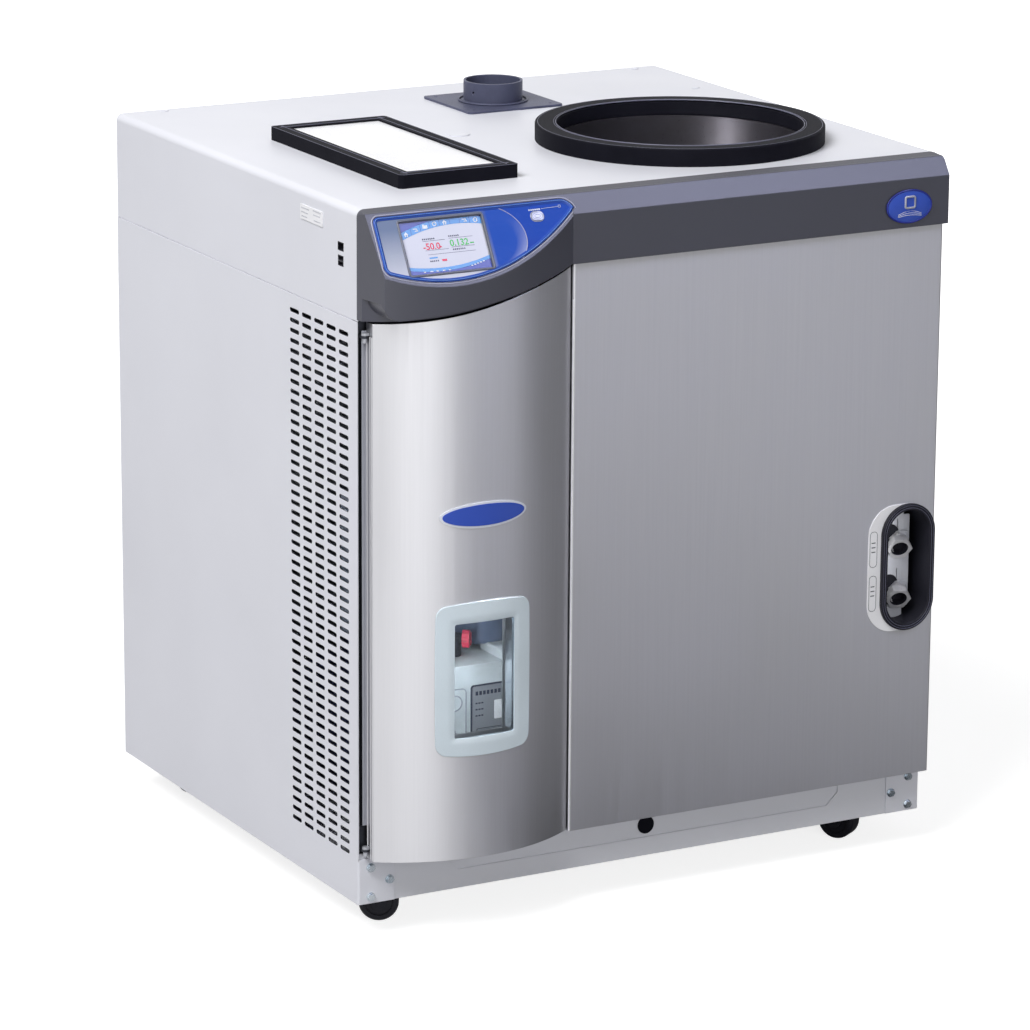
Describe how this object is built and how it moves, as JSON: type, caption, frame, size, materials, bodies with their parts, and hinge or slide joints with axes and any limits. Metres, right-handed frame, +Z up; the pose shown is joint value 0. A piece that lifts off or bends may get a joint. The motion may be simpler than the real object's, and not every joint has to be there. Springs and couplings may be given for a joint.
{
  "type": "freeze dryer",
  "caption": "Floor-standing freeze dryer: cabinet on casters, top-opening cold chamber with rubber ring, curved pump-bay door with window, tilted control pod and drain recess.",
  "frame": {"origin": "centre of the whole machine's box on the floor, under the casters", "axes": "+Z up, +Y towards the back, +X to the right of a person facing the front"},
  "size_m": [0.806, 0.7554, 0.937],
  "materials": {
    "white_paint": "smooth satin powder coat",
    "pale_paint": "smooth satin powder coat",
    "frame_paint": "satin black powder coat",
    "inner_steel": "plain zinc-coated sheet",
    "stainless": "vertically brushed stainless sheet",
    "zinc": "zinc-plated screws",
    "fascia_plastic": "fine-grained moulded plastic",
    "overlay_blue": "printed polyester overlay",
    "bezel_grey": "satin plastic",
    "display": "lit display behind a clear touch panel",
    "button_silver": "satin silver plastic",
    "badge_blue": "glossy domed plate",
    "window_border": "frosted clear plastic",
    "window_clear": "clear polycarbonate",
    "label_white": "laminated label stock",
    "black_plastic": "moulded black plastic",
    "rubber": "moulded rubber",
    "chamber_coat": "non-stick coated steel",
    "copper": "bare copper tube",
    "foam": "closed-cell foam jacket",
    "port_grey": "grey coated aluminium",
    "insert_white": "smooth white plate",
    "pump_grey": "painted light grey casting",
    "pump_blue": "painted dark blue casting",
    "filter_dark": "dark painted canister",
    "knob_red": "red moulded plastic",
    "compressor_black": "black enamel",
    "fin_aluminium": "mill-finish fin stock"
  },
  "bodies": {
    "cabinet": {"base_pan": "pale_paint", "front_apron": "pale_paint", "left_side_panel": "white_paint", "right_side_panel": "white_paint", "rear_panel": "white_paint", "top_cover": "white_paint", "front_frame": "frame_paint", "front_panel": "stainless", "base_screws": "zinc", "base_grommet": "rubber", "fascia": "fascia_plastic", "control_overlay": "overlay_blue", "screen_bezel": "bezel_grey", "touchscreen": "display", "fascia_badge": "badge_blue", "hinge_brackets": "frame_paint", "magnet_catch": "black_plastic", "drain_plate": "label_white", "drain_housing": "black_plastic", "drain_bracket": "inner_steel", "collector_drain_fitting": "stainless", "vacuum_drain_fitting": "stainless", "drain_tubes": "rubber", "sealing_ring": "rubber", "collector_chamber": "chamber_coat", "evaporator_coil": "copper", "chamber_insulation": "foam", "port_flange": "port_grey", "pad_frame": "rubber", "pad_insert": "insert_white", "top_plugs": "label_white", "data_ports": "black_plastic", "power_inlet": "black_plastic", "bay_liner": "inner_steel", "pump_case": "pump_grey", "pump_motor": "pump_blue", "mist_filter": "filter_dark", "vacuum_line": "black_plastic", "compressor": "compressor_black", "condenser": "fin_aluminium", "fan_shroud": "frame_paint", "fan_motor": "compressor_black", "caster_plates": "frame_paint"},
    "door": {"door_skin": "stainless", "door_liner": "inner_steel", "door_window_frame": "window_border", "door_window": "window_clear", "door_badge": "badge_blue", "door_strike": "zinc"},
    "power_button": {"power_button": "button_silver"},
    "fan": {"fan_blade": "fin_aluminium"},
    "ballast_knob": {"ballast_knob": "knob_red"},
    "fork_fl": {"caster_fork_fl": "frame_paint"},
    "wheel_fl": {"caster_wheel_fl": "black_plastic"},
    "fork_fr": {"caster_fork_fr": "frame_paint"},
    "wheel_fr": {"caster_wheel_fr": "black_plastic"},
    "fork_rl": {"caster_fork_rl": "frame_paint"},
    "wheel_rl": {"caster_wheel_rl": "black_plastic"},
    "fork_rr": {"caster_fork_rr": "frame_paint"},
    "wheel_rr": {"caster_wheel_rr": "black_plastic"}
  },
  "joints": [
    {"name": "door_hinge", "type": "hinge", "parent": "cabinet", "child": "door", "pos_m": [-0.39575, -0.31727, 0.44], "axis": [0, 0, -1], "range_deg": [0, 110]},
    {"name": "button_press", "type": "slide", "parent": "cabinet", "child": "power_button", "axis": [0, 0.8616, -0.5075], "range_m": [0, 0.001], "stiffness_N_per_m": 800, "springref_m": -0.001},
    {"name": "fan_spin", "type": "hinge", "parent": "cabinet", "child": "fan", "pos_m": [0.173, 0.30073, 0.275], "axis": [0, 1, 0], "continuous": true},
    {"name": "ballast_turn", "type": "hinge", "parent": "cabinet", "child": "ballast_knob", "pos_m": [-0.225, -0.22227, 0.338], "axis": [0.8192, -0.5736, 0], "range_deg": [0, 180]},
    {"name": "swivel_fl", "type": "hinge", "parent": "cabinet", "child": "fork_fl", "pos_m": [-0.333, -0.24647, 0.055], "axis": [0, 0, 1], "continuous": true},
    {"name": "roll_fl", "type": "hinge", "parent": "fork_fl", "child": "wheel_fl", "pos_m": [-0.34006, -0.24271, 0.025], "axis": [-0.4695, -0.8829, 0], "continuous": true},
    {"name": "swivel_fr", "type": "hinge", "parent": "cabinet", "child": "fork_fr", "pos_m": [0.333, -0.24647, 0.055], "axis": [0, 0, 1], "continuous": true},
    {"name": "roll_fr", "type": "hinge", "parent": "fork_fr", "child": "wheel_fr", "pos_m": [0.32876, -0.23968, 0.025], "axis": [-0.848, -0.5299, 0], "continuous": true},
    {"name": "swivel_rl", "type": "hinge", "parent": "cabinet", "child": "fork_rl", "pos_m": [-0.333, 0.30873, 0.055], "axis": [0, 0, 1], "continuous": true},
    {"name": "roll_rl", "type": "hinge", "parent": "fork_rl", "child": "wheel_rl", "pos_m": [-0.33439, 0.31661, 0.025], "axis": [-0.9848, -0.1736, 0], "continuous": true},
    {"name": "swivel_rr", "type": "hinge", "parent": "cabinet", "child": "fork_rr", "pos_m": [0.333, 0.30873, 0.055], "axis": [0, 0, 1], "continuous": true},
    {"name": "roll_rr", "type": "hinge", "parent": "fork_rr", "child": "wheel_rr", "pos_m": [0.33651, 0.31592, 0.025], "axis": [-0.8988, 0.4384, 0], "continuous": true}
  ]
}
